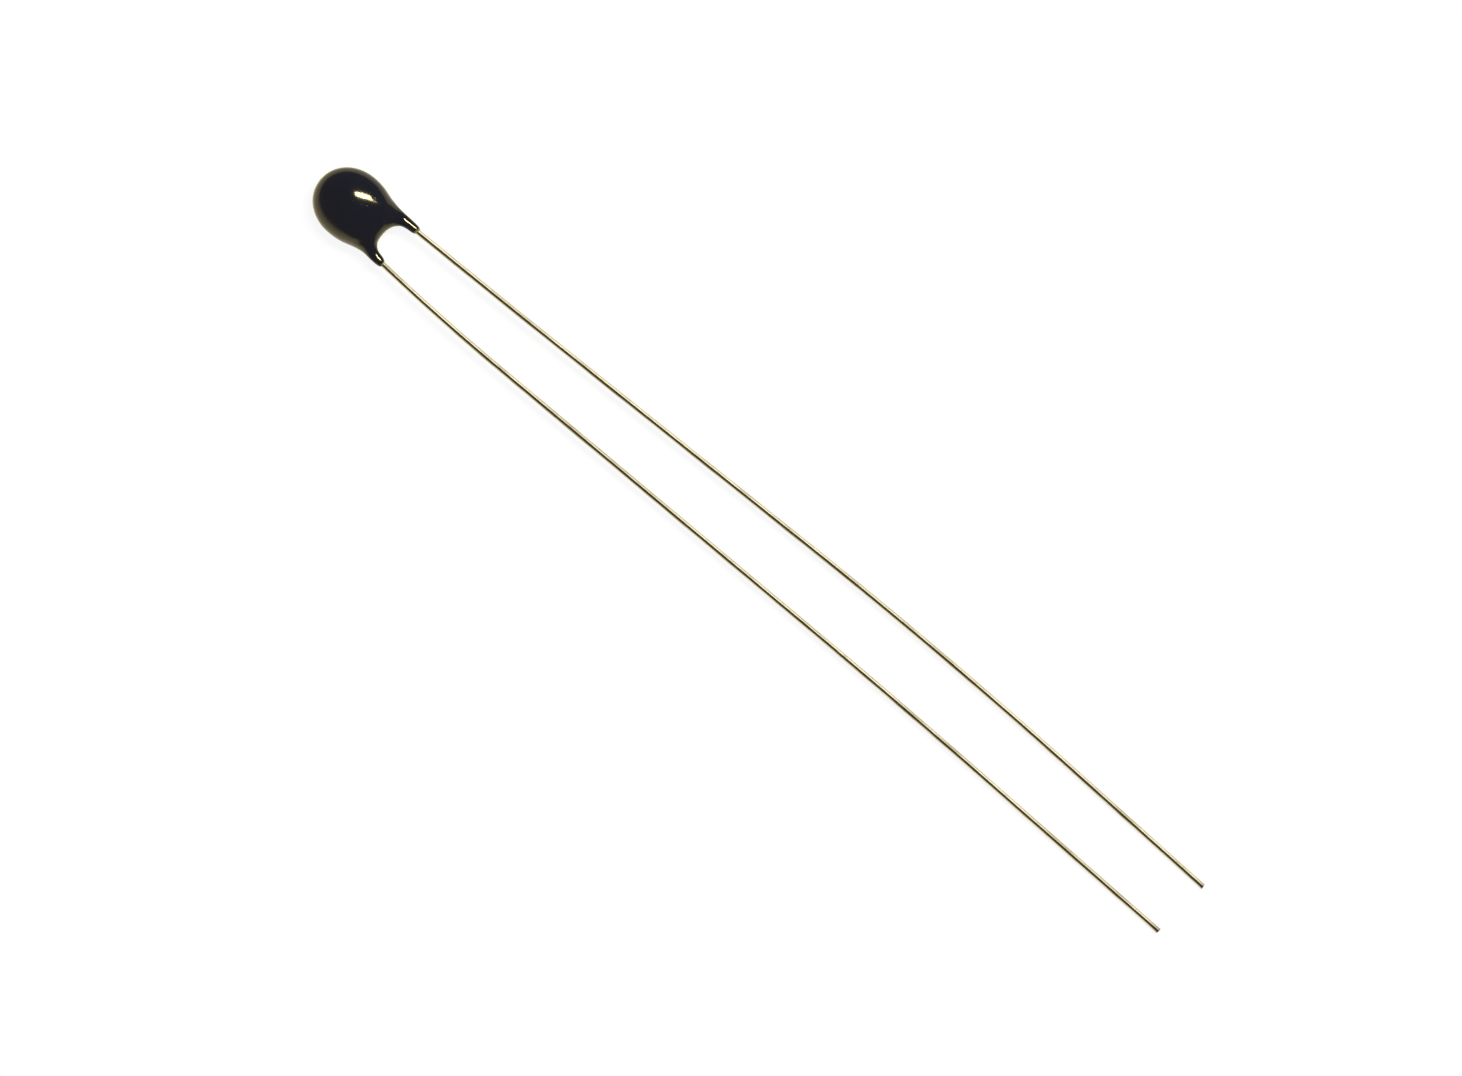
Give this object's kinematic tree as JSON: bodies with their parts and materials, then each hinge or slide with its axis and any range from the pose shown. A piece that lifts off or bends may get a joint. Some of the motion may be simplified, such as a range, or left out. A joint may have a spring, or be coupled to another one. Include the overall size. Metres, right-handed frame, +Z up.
{
  "type": "ntc thermistor",
  "caption": "Glossy black epoxy bead with a collar on each of its long, thin, bare tinned leads; a ceramic disc with soldered electrodes is sealed inside.",
  "frame": {"origin": "on the surface that the part lies on, below the middle of its length, on the bead's centreline", "axes": "+X from the bead to the lead tips, +Y across the leads towards the left lead, +Z up; the part lies on the bead's underside and its lead tips"},
  "size_m": [0.0418, 0.0028, 0.0016],
  "materials": {
    "black_epoxy": "glossy black dipped epoxy, smooth and slightly uneven where it runs on to the leads",
    "tinned_wire": "bright tinned copper wire with a warm, pale straw tint and fine drawing lines",
    "ceramic": "dark grey sintered metal-oxide ceramic, matt and fine-grained",
    "fired_silver": "matt silver-white fired film",
    "solder": "satin grey solder, lumpy where it cooled"
  },
  "bodies": {
    "root": {"epoxy_coating": "black_epoxy", "left_lead": "tinned_wire", "right_lead": "tinned_wire", "ceramic_disc": "ceramic", "front_electrode": "fired_silver", "back_electrode": "fired_silver", "front_solder": "solder", "back_solder": "solder"}
  },
  "joints": []
}
